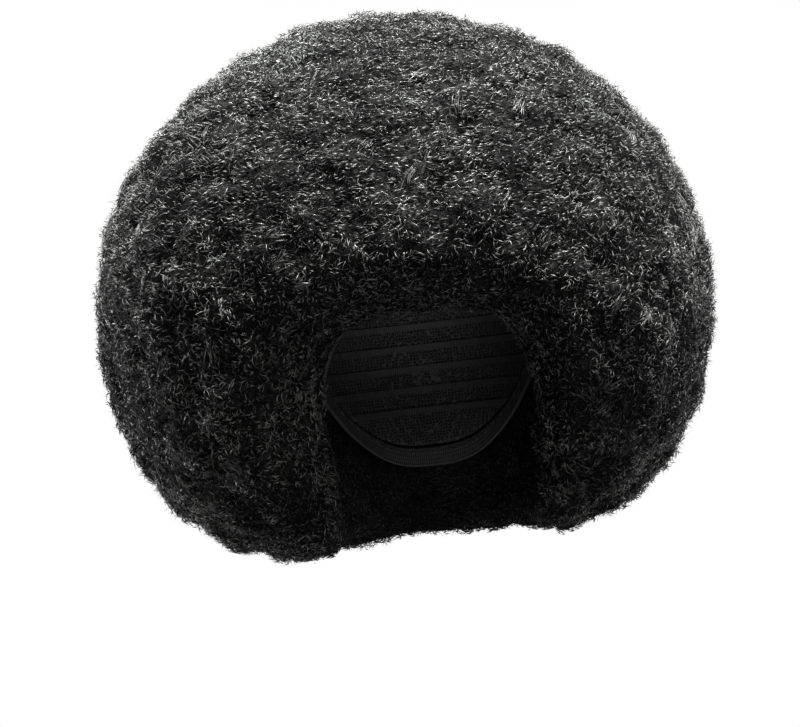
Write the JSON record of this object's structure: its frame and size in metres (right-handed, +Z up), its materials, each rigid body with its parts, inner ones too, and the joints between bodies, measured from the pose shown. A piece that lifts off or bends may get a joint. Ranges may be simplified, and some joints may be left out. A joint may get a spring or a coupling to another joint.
{
  "type": "afro wig",
  "caption": "Oversized round wig: a hollow ball of frizzy locks on a stretch cap with an elastic band, open for the face and the neck.",
  "frame": {"origin": "inside the top of the cap, at the crown, where the wig sits", "axes": "+Z up, -Y the way that the opening for the face looks, +X across"},
  "size_m": [0.4302, 0.3949, 0.3713],
  "materials": {
    "hair": "matte",
    "cap_net": "matte",
    "band_elastic": "matte"
  },
  "bodies": {
    "root": {"hair": "hair", "wig_cap": "cap_net", "edge_band": "band_elastic"}
  },
  "joints": []
}
